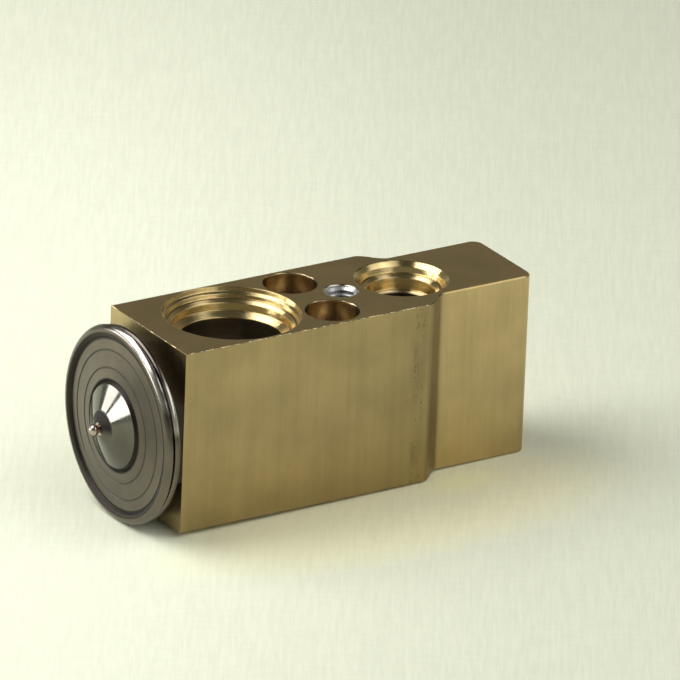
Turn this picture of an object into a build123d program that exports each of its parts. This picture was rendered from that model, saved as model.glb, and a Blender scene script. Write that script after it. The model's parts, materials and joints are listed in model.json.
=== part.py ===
from build123d import *
import math
import os

os.makedirs("parts", exist_ok=True)

# Block-type thermostatic expansion valve, in millimetres.
# Origin: midway between the two mounting screw holes, on the evaporator face.
# +Z runs from the evaporator face to the line face, +X along the valve axis to the adjusting
# screw, and the power head is at the -X end.

# Block: a bar extruded along Z, with a narrower nose
block_thickness = 35.0
block_width = 26.2
head_end_length = 34.6        # screw holes to the face that carries the power head
nose_end_length = 42.1        # screw holes to the end of the nose
nose_inset = 3.45             # step from each wide side to the nose side
waist_start = 17.3            # where the wide sides begin to turn in
waist_angle = 41.0            # slope of the waist, between its two radii
waist_outer_radius = 2.0
waist_inner_radius = 2.7
nose_corner_radius = 2.1
nose_edge_chamfer = 0.25
edge_break = 0.1
valve_axis_height = 17.5

# Suction passage, from the evaporator outlet back to the compressor line
suction_x = -16.9
suction_rim_radius = 12.75
suction_rim_depth = 0.9
suction_step_radius = 12.1
suction_step_depth = 2.0
suction_lead_radius = 11.6
suction_seal_radius = 10.9    # the pipe's sealing ring runs here
suction_seal_depth = 4.0
suction_shoulder_radius = 10.2
suction_passage_radius = 9.6

# Liquid inlet on the line face and liquid outlet on the evaporator face, one form
inlet_x = 19.45
outlet_x = 10.7
liquid_rim_radius = 8.75
liquid_rim_inner_radius = 7.9
liquid_rim_depth = 0.9
liquid_wall_radius = 7.5
liquid_wall_depth = 1.9
liquid_lead_radius = 7.0
liquid_seal_radius = 6.3      # the pipe's sealing ring runs here
liquid_seal_depth = 4.7
liquid_shoulder_radius = 5.9
liquid_bore_radius = 5.5
liquid_bore_depth = 9.0
lead_in_depth = 0.5           # conical lead-ins of both port sizes
shoulder_drop = 0.4           # conical shoulders at the pipe stops

# Screw holes for M5 socket-head screws, and the M6 stud hole
screw_hole_radius = 2.75
screw_hole_spacing = 14.56
screw_head_radius = 5.0
screw_head_depth = 6.0
stud_x = 6.4
stud_thread_radius = 3.0
stud_hole_depth = 12.0
stud_mouth_chamfer = 0.25
drill_point_angle = 118.0

# Valve bores along the valve axis
head_socket_radius = 10.05
head_socket_depth = 6.4
head_passage_radius = 7.0     # lets suction gas reach the power head
ring_counterbore_depth = 1.6
ring_counterbore_room = 0.4   # outside the sealing ring
seal_pocket_radius = 4.4
seal_pocket_end = -4.3
guide_end = 0.2
outlet_chamber_radius = 3.9
outlet_chamber_rise = 2.1     # above the valve axis
orifice_radius = 1.9
orifice_length = 1.5
seat_cone_length = 1.5
inlet_bore_radius = 2.9
inlet_bore_rise = 2.0         # its end, above the valve axis
chamber_radius = 5.6
chamber_end = 29.6
adjuster_seal_bore_radius = 6.15
adjuster_seal_bore_end = 34.6
adjuster_thread_radius = 7.0
bore_mouth_chamfer = 0.5

# Running and fitting clearances, all radial
slide_clearance = 0.05
thread_clearance = 0.05
ring_clearance = 0.02
seat_clearance = 0.02         # between faces that press on each other along the valve axis

# Sealing rings, in the section that they have when fitted
ring_flats = 8

# Power head, heights measured outwards from the head face
rim_radius = 18.5
base_rim_radius = 18.3
base_rim_thickness = 1.3
boss_height = 3.5
boss_across_flats = 26.0
diaphragm_thickness = 0.2
diaphragm_radius = 17.4
clamp_radius = 15.2           # inside this the diaphragm is free to move
diaphragm_well_depth = 0.5
cap_bead_height = 1.45        # crown of the rolled rim above the diaphragm
cap_wall = 0.9
crease_radius = 16.2
crease_height = 0.85          # above the diaphragm
plateau_radius = 8.6
plateau_height = 1.75
plateau_ring_radii = (13.9, 10.7)
plateau_ring_depth = 0.06
plateau_ring_width = 0.3
cone_groove_depth = 0.25      # coined groove round the foot of the cone
cone_groove_width = 0.8
cone_top_radius = 2.2
cone_top_height = 4.65
nose_flat_radius = 1.5
nose_flat_height = 5.0
charge_hole_radius = 0.6
charge_ball_radius = 1.05
rim_round = 0.45
neck_bore_radius = 7.4
neck_relief_depth = 0.4       # the sealing ring lies in this relief above the thread
neck_chamfer = 0.8
ring_cord_radius = 0.78       # head sealing ring
corrugation_radii = (13.6, 11.8)
corrugation_depth = 0.3

# Stop plate and rod
stop_radius = 11.0
stop_clearance = 0.4
stop_thickness = 1.5
stroke = 0.7
stroke_margin = 0.05
hub_radius = 4.6
hub_length = 6.8
rod_radius = 3.0
rod_end_gap = 0.8             # from the rod's end to the end of its guide bore
rod_seat_depth = 5.2          # length of rod held in the hub
rod_chamfer = 0.4
pin_radius = 1.3
pin_grip = 5.4                # length of pin pressed into the rod
pin_chamfer = 0.3
rod_ring_cord_radius = 0.66
retainer_thickness = 0.8
retainer_gap = 0.1
retainer_tooth_count = 8
retainer_slot_width = 1.3
retainer_slot_depth = 0.55

# Ball, carrier, springs and adjusting screw
ball_radius = 2.5
carrier_neck_radius = 3.3
carrier_neck_length = 3.1
carrier_cup_setback = 0.95    # from the ball's centre to the carrier's front face
carrier_flange_radius = 5.0
carrier_flange_thickness = 1.0
pilot_radius = 2.6
pilot_length = 3.6
clip_thickness = 0.2
clip_leg_count = 3
clip_leg_angle = 30.0
clip_leg_length = 3.4
clip_bow = 0.35
spring_wire_radius = 0.5
spring_wire_sides = 12
spring_mean_radius = 3.55
spring_length = 8.0
spring_turns = 5.0
adjuster_pilot_length = 2.5
adjuster_land_length = 5.0
adjuster_thread_length = 5.0
adjuster_groove_offset = 1.2
adjuster_groove_width = 2.0
adjuster_ring_cord_radius = 0.62
key_across_flats = 8.0
key_depth = 5.0
adjuster_chamfer = 0.5

# Places that follow from the sizes above
head_face_x = -head_end_length
neck_thread_radius = head_socket_radius - thread_clearance
neck_relief_radius = neck_thread_radius - neck_relief_depth
ring_centre_radius = neck_relief_radius + ring_cord_radius + 2 * ring_clearance
ring_counterbore_radius = ring_centre_radius + ring_cord_radius + ring_counterbore_room
diaphragm_height = boss_height + base_rim_thickness
cap_seat_height = diaphragm_height + diaphragm_thickness
stop_floor_height = diaphragm_height - seat_clearance - stop_thickness - stroke - stroke_margin
hub_end_x = head_face_x - diaphragm_height + seat_clearance + stop_thickness + hub_length
rod_start_x = hub_end_x - rod_seat_depth
rod_end_x = guide_end - rod_end_gap
seat_x = outlet_x + outlet_chamber_radius + orifice_length
ball_x = seat_x + math.sqrt(ball_radius**2 - orifice_radius**2) + seat_clearance
pin_end_x = ball_x - ball_radius - seat_clearance
carrier_start_x = ball_x + carrier_cup_setback
carrier_flange_x = carrier_start_x + carrier_neck_length
clip_x = carrier_flange_x + carrier_flange_thickness
spring_x = clip_x + clip_thickness
adjuster_x = spring_x + spring_length
adjuster_thread_x = adjuster_x + adjuster_land_length
adjuster_end_x = adjuster_thread_x + adjuster_thread_length
groove_x = adjuster_x + adjuster_groove_offset
groove_radius = adjuster_seal_bore_radius - 2 * adjuster_ring_cord_radius - 2 * ring_clearance
valve_axis = Axis((0, 0, valve_axis_height), (1, 0, 0))


def lift(point):
    """A profile point (x, radius) placed above the valve axis."""
    return (point[0], 0, valve_axis_height + point[1])


def turned(points):
    """A body of revolution about the valve axis, from (x, radius) points."""
    outline = Polyline(*[lift(point) for point in points], close=True)
    return revolve(make_face(outline), valve_axis)


def head_point(height, radius):
    """A profile point at a height outwards from the head face."""
    return (head_face_x - height, radius)


def drilled(x, points, from_line_face):
    """A cutter along Z at x, from (depth, radius) points below one of the two faces."""
    outline = Polyline(*[(r, 0, -depth) for depth, r in points], close=True)
    cutter = revolve(make_face(outline), Axis.Z)
    if from_line_face:
        return Pos(x, 0, block_thickness) * cutter
    return Pos(x, 0, 0) * Rot(180, 0, 0) * cutter


def seated_ring(x, centre_radius, cord_radius):
    """A sealing ring squeezed in its groove: flat on its four seats, with bevels between."""
    centre = Plane(lift((x, centre_radius)), x_dir=(1, 0, 0), z_dir=(0, -1, 0))
    section = RegularPolygon(cord_radius, ring_flats, major_radius=False, rotation=180 / ring_flats)
    return revolve(centre * section, valve_axis)


def block_outline():
    """Half of the bar's section, from the head face to the nose end, then mirrored."""
    half = block_width / 2
    slope = math.radians(waist_angle)
    turn_in = (waist_outer_radius + waist_inner_radius) * (1 - math.cos(slope))
    head_edge = Line((head_face_x, 0), (head_face_x, -half))
    wide_side = Line(head_edge @ 1, (waist_start, -half))
    waist_out = JernArc(wide_side @ 1, (1, 0), waist_outer_radius, waist_angle)
    waist_slope = PolarLine(waist_out @ 1, (nose_inset - turn_in) / math.sin(slope), waist_angle)
    waist_in = JernArc(waist_slope @ 1, waist_slope % 1, waist_inner_radius, -waist_angle)
    nose_side = Line(waist_in @ 1, (nose_end_length - nose_corner_radius, (waist_in @ 1).Y))
    corner = JernArc(nose_side @ 1, (1, 0), nose_corner_radius, 90)
    nose_edge = Line(corner @ 1, (nose_end_length, 0))
    side = Curve() + [
        head_edge, wide_side, waist_out, waist_slope, waist_in, nose_side, corner, nose_edge]
    return make_face(side.edges() + mirror(side, Plane.XZ).edges()), (waist_slope @ 0.5).X


def chamfered_half(section, size, cut_x):
    """One end of the bar with its sawn edges broken, the cut plane at cut_x left plain."""
    solid = extrude(section, block_thickness)
    sawn = [
        edge for face in (solid.faces().sort_by(Axis.Z)[0], solid.faces().sort_by(Axis.Z)[-1])
        for edge in face.edges() if abs(edge.center().X - cut_x) > 0.01
    ]
    return chamfer(sawn, size)


def block_blank():
    outline, middle_x = block_outline()
    reach = 2 * (head_end_length + nose_end_length)
    wide_window = Pos(middle_x, 0) * Rectangle(reach, reach, align=(Align.MAX, Align.CENTER))
    nose_window = Pos(middle_x, 0) * Rectangle(reach, reach, align=(Align.MIN, Align.CENTER))
    wide_end = chamfered_half(outline & wide_window, edge_break, middle_x)
    nose_end = chamfered_half(outline & nose_window, nose_edge_chamfer, middle_x)
    return wide_end + nose_end


def suction_port(from_line_face):
    """Half of the suction passage, cut from one face to the middle of the block."""
    step_run = suction_rim_radius - suction_step_radius
    points = [
        (0, 0),
        (0, suction_rim_radius),
        (suction_rim_depth, suction_rim_radius - edge_break),
        (suction_rim_depth + step_run / 2, suction_step_radius),
        (suction_step_depth, suction_step_radius - edge_break),
        (suction_step_depth, suction_lead_radius),
        (suction_step_depth + lead_in_depth, suction_seal_radius),
        (suction_seal_depth, suction_seal_radius),
        (suction_seal_depth, suction_seal_radius - edge_break),
        (suction_seal_depth + shoulder_drop, suction_shoulder_radius),
        (suction_seal_depth + 2 * shoulder_drop, suction_passage_radius),
        (block_thickness / 2, suction_passage_radius),
        (block_thickness / 2, 0),
    ]
    return drilled(suction_x, points, from_line_face)


def liquid_port(x, from_line_face):
    """A liquid port with its rim cone, pipe seat and bore."""
    points = [
        (0, 0),
        (0, liquid_rim_radius),
        (liquid_rim_depth, liquid_rim_inner_radius),
        (liquid_wall_depth, liquid_wall_radius),
        (liquid_wall_depth, liquid_lead_radius),
        (liquid_wall_depth + lead_in_depth, liquid_seal_radius),
        (liquid_seal_depth, liquid_seal_radius),
        (liquid_seal_depth, liquid_shoulder_radius),
        (liquid_seal_depth + shoulder_drop, liquid_bore_radius),
        (liquid_bore_depth, liquid_bore_radius),
        (liquid_bore_depth, 0),
    ]
    return drilled(x, points, from_line_face)


def screw_hole(side):
    """A screw hole with its head recess on the line face."""
    points = [
        (0, 0),
        (0, screw_head_radius + edge_break),
        (edge_break, screw_head_radius),
        (screw_head_depth, screw_head_radius),
        (screw_head_depth, screw_hole_radius),
        (block_thickness, screw_hole_radius),
        (block_thickness, 0),
    ]
    return Pos(0, side * screw_hole_spacing / 2, 0) * drilled(0, points, True)


def stud_hole():
    point_depth = stud_thread_radius / math.tan(math.radians(drill_point_angle / 2))
    points = [
        (0, 0),
        (0, stud_thread_radius + stud_mouth_chamfer),
        (stud_mouth_chamfer, stud_thread_radius),
        (stud_hole_depth, stud_thread_radius),
        (stud_hole_depth + point_depth, 0),
    ]
    return drilled(stud_x, points, True)


def liquid_passages():
    """Round chamber over the outlet port, and the bore from the inlet port to the ball."""
    outlet_points = [
        (0, 0),
        (0, outlet_chamber_radius),
        (valve_axis_height + outlet_chamber_rise, outlet_chamber_radius),
        (valve_axis_height + outlet_chamber_rise, 0),
    ]
    inlet_depth = block_thickness - valve_axis_height - inlet_bore_rise
    inlet_points = [
        (0, 0),
        (0, inlet_bore_radius),
        (inlet_depth, inlet_bore_radius),
        (inlet_depth, 0),
    ]
    return drilled(outlet_x, outlet_points, False) + drilled(inlet_x, inlet_points, True)


def head_bores():
    """Bores from the head face: ring counterbore, thread, gas passage, seal pocket, guide."""
    pin_bore_radius = pin_radius + slide_clearance
    return turned([
        (head_face_x, 0),
        (head_face_x, ring_counterbore_radius),
        (head_face_x + ring_counterbore_depth, ring_counterbore_radius),
        (head_face_x + ring_counterbore_depth, head_socket_radius),
        (head_face_x + head_socket_depth, head_socket_radius),
        (head_face_x + head_socket_depth, head_passage_radius),
        (suction_x, head_passage_radius),
        (suction_x, seal_pocket_radius),
        (seal_pocket_end, seal_pocket_radius),
        (seal_pocket_end, rod_radius + slide_clearance),
        (guide_end, rod_radius + slide_clearance),
        (guide_end, pin_bore_radius),
        (outlet_x, pin_bore_radius),
        (outlet_x, 0),
    ])


def nose_bores():
    """Bores from the nose end: adjuster thread, ring land, ball chamber, seat and orifice."""
    return turned([
        (outlet_x, 0),
        (outlet_x, orifice_radius),
        (seat_x, orifice_radius),
        (seat_x + seat_cone_length, orifice_radius + seat_cone_length),
        (seat_x + seat_cone_length, chamber_radius),
        (chamber_end, chamber_radius),
        (chamber_end, adjuster_seal_bore_radius),
        (adjuster_seal_bore_end, adjuster_seal_bore_radius),
        (adjuster_seal_bore_end, adjuster_thread_radius),
        (nose_end_length - bore_mouth_chamfer, adjuster_thread_radius),
        (nose_end_length, adjuster_thread_radius + bore_mouth_chamfer),
        (nose_end_length, 0),
    ])


def valve_body():
    cutters = [
        suction_port(True),
        suction_port(False),
        liquid_port(inlet_x, True),
        liquid_port(outlet_x, False),
        screw_hole(-1),
        screw_hole(1),
        stud_hole(),
        liquid_passages(),
        head_bores(),
        nose_bores(),
    ]
    return block_blank() - cutters


def plateau_profile():
    """Cap's outer face from the crease to the cone, with its shallow rolled rings."""
    slope = (plateau_height - crease_height) / (plateau_radius - crease_radius)
    points = []
    for ring in plateau_ring_radii:
        height = cap_seat_height + crease_height + slope * (ring - crease_radius)
        points += [
            head_point(height - slope * plateau_ring_width / 2, ring + plateau_ring_width / 2),
            head_point(height - plateau_ring_depth, ring),
            head_point(height + slope * plateau_ring_width / 2, ring - plateau_ring_width / 2),
        ]
    return points


def head_cap():
    """Pressed cap: rolled rim, shallow plateau and charging cone."""
    bead_middle = (rim_radius + crease_radius) / 2
    cone_slope = (cone_top_height - plateau_height) / (plateau_radius - cone_top_radius)
    crease = head_point(cap_seat_height + crease_height, crease_radius)
    bead_crown = head_point(cap_seat_height + cap_bead_height, bead_middle)
    bead_foot = head_point(cap_seat_height + rim_round, rim_radius)
    top = [
        head_point(cap_seat_height + plateau_height, plateau_radius),
        head_point(
            cap_seat_height + plateau_height - cone_groove_depth,
            plateau_radius - cone_groove_width / 3),
        head_point(
            cap_seat_height + plateau_height + cone_groove_width * cone_slope,
            plateau_radius - cone_groove_width),
        head_point(cap_seat_height + cone_top_height, cone_top_radius),
        head_point(cap_seat_height + nose_flat_height, nose_flat_radius),
        head_point(cap_seat_height + nose_flat_height, charge_hole_radius),
        head_point(cap_seat_height + nose_flat_height - cap_wall, charge_hole_radius),
        head_point(cap_seat_height + cone_top_height - cap_wall, cone_top_radius - cap_wall / 2),
        head_point(cap_seat_height + plateau_height - cap_wall, plateau_radius - cap_wall / 2),
        head_point(cap_seat_height, clamp_radius),
        head_point(cap_seat_height, rim_radius - rim_round),
    ]
    outer = Polyline(*[lift(p) for p in [crease] + plateau_profile() + top])
    foot = Line(outer @ 1, lift(bead_foot))
    bead = ThreePointArc(lift(bead_foot), lift(bead_crown), lift(crease))
    section = make_face(outer.edges() + foot.edges() + bead.edges())
    return revolve(section, valve_axis)


def charge_ball():
    """Ball welded in the charging hole."""
    sink = math.sqrt(charge_ball_radius**2 - charge_hole_radius**2)
    x = head_face_x - cap_seat_height - nose_flat_height - sink
    return Pos(x, 0, valve_axis_height) * Sphere(charge_ball_radius)


def diaphragm():
    """Thin disc with two rolled corrugations, clamped at its edge."""
    near = diaphragm_height
    far = cap_seat_height
    outer_face = [(far, diaphragm_radius)]
    inner_face = [(near, diaphragm_radius)]
    for ring in corrugation_radii:
        for offset, sink in ((2 * corrugation_depth, 0), (0, corrugation_depth),
                             (-2 * corrugation_depth, 0)):
            outer_face.append((far - sink, ring + offset))
            inner_face.append((near - sink, ring + offset))
    outer_face.append((far, 0))
    inner_face.append((near, 0))
    return turned([head_point(*p) for p in outer_face + inner_face[::-1]])


def head_base():
    """Turned lower housing: rounded rim, hexagon, diaphragm well, threaded neck."""
    recess_radius = stop_radius + stop_clearance
    neck_end = -(head_socket_depth - neck_chamfer)
    relief_end = -(ring_counterbore_depth + ring_clearance)
    rim_corner_radius = base_rim_radius - rim_round
    inside = Polyline(*[lift(head_point(*p)) for p in (
        (boss_height, rim_corner_radius),
        (boss_height, neck_relief_radius),
        (relief_end, neck_relief_radius),
        (relief_end, neck_thread_radius),
        (neck_end + neck_chamfer, neck_thread_radius),
        (neck_end, neck_thread_radius - neck_chamfer),
        (neck_end, neck_bore_radius),
        (stop_floor_height, neck_bore_radius),
        (stop_floor_height, recess_radius),
        (diaphragm_height - diaphragm_well_depth, recess_radius),
        (diaphragm_height - diaphragm_well_depth, clamp_radius),
        (diaphragm_height, clamp_radius),
        (diaphragm_height, rim_corner_radius),
    )])
    rim_crest = head_point(boss_height + base_rim_thickness / 2, base_rim_radius)
    rim = ThreePointArc(inside @ 1, lift(rim_crest), inside @ 0)
    shell = revolve(make_face(inside.edges() + rim.edges()), valve_axis)
    hexagon = RegularPolygon(boss_across_flats / 2, 6, major_radius=False)
    hexagon -= Circle(neck_relief_radius)
    boss = Location((head_face_x, 0, valve_axis_height), (0, -90, 0)) * extrude(
        hexagon, boss_height)
    recess = turned([head_point(*p) for p in (
        (diaphragm_height, 0),
        (diaphragm_height, recess_radius),
        (stop_floor_height, recess_radius),
        (stop_floor_height, 0),
    )])
    return shell + (boss - recess)


def head_gasket():
    """Sealing ring in the block's counterbore, under the hexagon."""
    x = head_face_x + ring_counterbore_depth / 2
    return seated_ring(x, ring_centre_radius, ring_cord_radius)


def diaphragm_stop():
    """Plate that backs the diaphragm, with a hub that holds the rod."""
    plate_top = diaphragm_height - seat_clearance
    plate_x = head_face_x - plate_top
    socket_radius = rod_radius + ring_clearance
    return turned([
        (plate_x, 0),
        (plate_x, stop_radius),
        (plate_x + stop_thickness, stop_radius),
        (plate_x + stop_thickness, hub_radius),
        (hub_end_x, hub_radius),
        (hub_end_x, socket_radius),
        (rod_start_x - seat_clearance, socket_radius),
        (rod_start_x - seat_clearance, 0),
    ])


def sensing_rod():
    """Rod that crosses the suction passage and carries its heat to the power head."""
    pin_socket_radius = pin_radius + ring_clearance
    pin_socket_x = rod_end_x - pin_grip - seat_clearance
    return turned([
        (rod_start_x, 0),
        (rod_start_x, rod_radius - rod_chamfer),
        (rod_start_x + rod_chamfer, rod_radius),
        (rod_end_x - rod_chamfer, rod_radius),
        (rod_end_x, rod_radius - rod_chamfer),
        (rod_end_x, pin_socket_radius),
        (pin_socket_x, pin_socket_radius),
        (pin_socket_x, 0),
    ])


def push_pin():
    """Thin pin from the rod, through the orifice, to the ball."""
    start_x = rod_end_x - pin_grip
    return turned([
        (start_x, 0),
        (start_x, pin_radius - pin_chamfer),
        (start_x + pin_chamfer, pin_radius),
        (pin_end_x - pin_chamfer, pin_radius),
        (pin_end_x, pin_radius - pin_chamfer),
        (pin_end_x, 0),
    ])


def rod_seal():
    """Ring that keeps the suction side and the outlet side apart."""
    centre_radius = rod_radius + ring_clearance + rod_ring_cord_radius
    x = seal_pocket_end - rod_ring_cord_radius - ring_clearance
    return seated_ring(x, centre_radius, rod_ring_cord_radius)


def seal_retainer():
    """Toothed push-in ring that holds the rod seal in its pocket."""
    start_x = seal_pocket_end - 2 * rod_ring_cord_radius - retainer_gap - retainer_thickness
    outer_radius = seal_pocket_radius - slide_clearance
    inner_radius = rod_radius + 3 * slide_clearance
    section = Circle(outer_radius) - Circle(inner_radius)
    slot = Pos(outer_radius, 0) * Rectangle(2 * retainer_slot_depth, retainer_slot_width)
    section -= [loc * slot for loc in PolarLocations(0, retainer_tooth_count)]
    place = Location((start_x, 0, valve_axis_height), (0, 90, 0))
    return place * extrude(section, retainer_thickness)


def valve_ball():
    return Pos(ball_x, 0, valve_axis_height) * Sphere(ball_radius)


def ball_carrier():
    """Cup behind the ball, with a spring flange and a pilot."""
    cone_apex_x = ball_x + ball_radius * math.sqrt(2) + seat_clearance
    pilot_end_x = clip_x + pilot_length
    return turned([
        (carrier_start_x, cone_apex_x - carrier_start_x),
        (carrier_start_x, carrier_neck_radius),
        (carrier_flange_x, carrier_neck_radius),
        (carrier_flange_x, carrier_flange_radius),
        (clip_x, carrier_flange_radius),
        (clip_x, pilot_radius),
        (pilot_end_x - pin_chamfer, pilot_radius),
        (pilot_end_x, pilot_radius - pin_chamfer),
        (pilot_end_x, 0),
        (cone_apex_x, 0),
    ])


def damping_spring():
    """Thin ring under the spring, with bowed legs that rub on the chamber wall."""
    wall = chamber_radius - slide_clearance
    ring = turned([
        (clip_x, pilot_radius + ring_clearance),
        (clip_x, wall - clip_bow),
        (spring_x, wall - clip_bow),
        (spring_x, pilot_radius + ring_clearance),
    ])
    tip_x = clip_x + clip_leg_length
    middle_x = (clip_x + tip_x) / 2
    outer = ThreePointArc(lift((clip_x, wall - clip_bow)), lift((middle_x, wall)),
                          lift((tip_x, wall - clip_bow)))
    tip = Line(outer @ 1, lift((tip_x, wall - clip_bow - clip_thickness)))
    inner = ThreePointArc(tip @ 1, lift((middle_x, wall - clip_thickness)),
                          lift((clip_x, wall - clip_bow - clip_thickness)))
    root = Line(inner @ 1, outer @ 0)
    section = make_face(outer.edges() + tip.edges() + inner.edges() + root.edges())
    leg = revolve(section, valve_axis, clip_leg_angle)
    spread = 360 / clip_leg_count
    return ring + [leg.rotate(valve_axis, spread * i) for i in range(clip_leg_count)]


def bias_spring():
    """Compression spring with both ends ground, their tips half the wire's radius thick."""
    pitch = spring_length / spring_turns
    overrun = spring_wire_radius / 2
    path = Helix(pitch, spring_length + 2 * overrun, spring_mean_radius)
    section = RegularPolygon(spring_wire_radius, spring_wire_sides, major_radius=False)
    wire = sweep(Plane(path @ 0, z_dir=path % 0) * section, path, is_frenet=True)
    reach = 3 * spring_mean_radius
    window = Pos(0, 0, overrun) * Box(
        reach, reach, spring_length, align=(Align.CENTER, Align.CENTER, Align.MIN))
    place = Location((spring_x - overrun, 0, valve_axis_height), (0, 90, 0))
    return place * (wire & window)


def adjusting_screw():
    """Screw that sets the spring load, with a blind hexagon socket."""
    land_radius = adjuster_seal_bore_radius - slide_clearance
    thread_radius = adjuster_thread_radius - thread_clearance
    groove_end_x = groove_x + adjuster_groove_width
    body = turned([
        (adjuster_x - adjuster_pilot_length, 0),
        (adjuster_x - adjuster_pilot_length, pilot_radius),
        (adjuster_x, pilot_radius),
        (adjuster_x, land_radius),
        (groove_x, land_radius),
        (groove_x, groove_radius),
        (groove_end_x, groove_radius),
        (groove_end_x, land_radius),
        (adjuster_thread_x, land_radius),
        (adjuster_thread_x, thread_radius),
        (adjuster_end_x - adjuster_chamfer, thread_radius),
        (adjuster_end_x, thread_radius - adjuster_chamfer),
        (adjuster_end_x, 0),
    ])
    hexagon = extrude(RegularPolygon(key_across_flats / 2, 6, major_radius=False), key_depth)
    socket = Location((adjuster_end_x - key_depth, 0, valve_axis_height), (0, 90, 0)) * hexagon
    return body - socket


def adjuster_o_ring():
    """Sealing ring in the adjusting screw's groove."""
    centre_radius = groove_radius + ring_clearance + adjuster_ring_cord_radius
    x = groove_x + adjuster_groove_width / 2
    return seated_ring(x, centre_radius, adjuster_ring_cord_radius)


makers = (
    valve_body, head_cap, charge_ball, diaphragm, head_base, head_gasket, diaphragm_stop,
    sensing_rod, push_pin, rod_seal, seal_retainer, valve_ball, ball_carrier, damping_spring,
    bias_spring, adjusting_screw, adjuster_o_ring,
)

for maker in makers:
    export_step(maker(), f"parts/{maker.__name__}.step")
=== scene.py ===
import json
import math

import bmesh
import bpy
from mathutils import Matrix, Vector


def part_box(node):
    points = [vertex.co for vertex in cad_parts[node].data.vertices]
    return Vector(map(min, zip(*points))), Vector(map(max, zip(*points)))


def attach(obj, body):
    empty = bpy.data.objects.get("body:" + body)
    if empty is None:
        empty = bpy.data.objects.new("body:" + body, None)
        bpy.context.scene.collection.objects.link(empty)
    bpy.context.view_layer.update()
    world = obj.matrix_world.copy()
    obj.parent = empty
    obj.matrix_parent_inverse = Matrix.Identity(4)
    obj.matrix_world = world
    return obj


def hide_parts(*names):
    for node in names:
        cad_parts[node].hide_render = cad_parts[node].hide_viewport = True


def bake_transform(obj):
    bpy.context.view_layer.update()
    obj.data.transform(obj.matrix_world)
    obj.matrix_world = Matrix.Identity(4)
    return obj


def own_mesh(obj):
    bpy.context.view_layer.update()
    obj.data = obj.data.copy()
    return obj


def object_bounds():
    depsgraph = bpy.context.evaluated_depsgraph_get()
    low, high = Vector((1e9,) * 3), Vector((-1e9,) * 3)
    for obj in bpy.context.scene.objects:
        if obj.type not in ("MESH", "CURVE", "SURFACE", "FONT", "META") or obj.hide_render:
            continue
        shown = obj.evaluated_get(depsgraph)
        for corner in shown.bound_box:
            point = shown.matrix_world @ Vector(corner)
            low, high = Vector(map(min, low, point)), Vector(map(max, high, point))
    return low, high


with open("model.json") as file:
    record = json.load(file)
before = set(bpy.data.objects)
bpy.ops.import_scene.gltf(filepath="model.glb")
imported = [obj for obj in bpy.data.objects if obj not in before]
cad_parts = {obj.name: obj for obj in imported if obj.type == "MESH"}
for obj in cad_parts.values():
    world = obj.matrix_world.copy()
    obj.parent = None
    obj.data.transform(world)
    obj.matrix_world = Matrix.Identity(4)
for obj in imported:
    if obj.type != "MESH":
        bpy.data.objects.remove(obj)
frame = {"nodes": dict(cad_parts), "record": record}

mm = 0.001
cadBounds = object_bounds()
nodes = frame["nodes"]
mounts = {mount["name"]: mount for mount in frame["record"]["mounts"]}
blockLow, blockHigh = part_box("valve_body")
axisHeight = (blockLow.z + blockHigh.z) / 2
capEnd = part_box("head_cap")[1].x  # the cap lies before this along X
scene = bpy.context.scene
scene.view_settings.view_transform = "Standard"


def inMetres(lengths):
    return [length * mm for length in lengths]


# --- camera

cameraSettings = {
    "aim": (7.37, 1.17, 24.65),   # mm, seen at the middle of the picture
    "heading": 32.914,            # degrees from +Y towards +X
    "lookDown": 22.434,
    "roll": 2.222,
    "distance": 2191.0,           # mm
    "lens": 635.3,
    "sensor": 36.0,
}


def makeCamera(settings):
    heading = math.radians(settings["heading"])
    lookDown = math.radians(settings["lookDown"])
    forward = Vector((math.sin(heading) * math.cos(lookDown),
                      math.cos(heading) * math.cos(lookDown), -math.sin(lookDown)))
    turn = forward.to_track_quat("-Z", "Y").to_matrix().to_4x4()
    roll = Matrix.Rotation(math.radians(settings["roll"]), 4, "Z")
    data = bpy.data.cameras.new("camera")
    data.lens = settings["lens"]
    data.sensor_width = settings["sensor"]
    data.clip_start = 0.1
    data.clip_end = 100
    camera = bpy.data.objects.new("camera", data)
    place = Vector(settings["aim"]) * mm - forward * settings["distance"] * mm
    camera.matrix_world = Matrix.Translation(place) @ turn @ roll
    scene.collection.objects.link(camera)
    scene.camera = camera


makeCamera(cameraSettings)
print("camera ready")


# --- shader graphs

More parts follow.
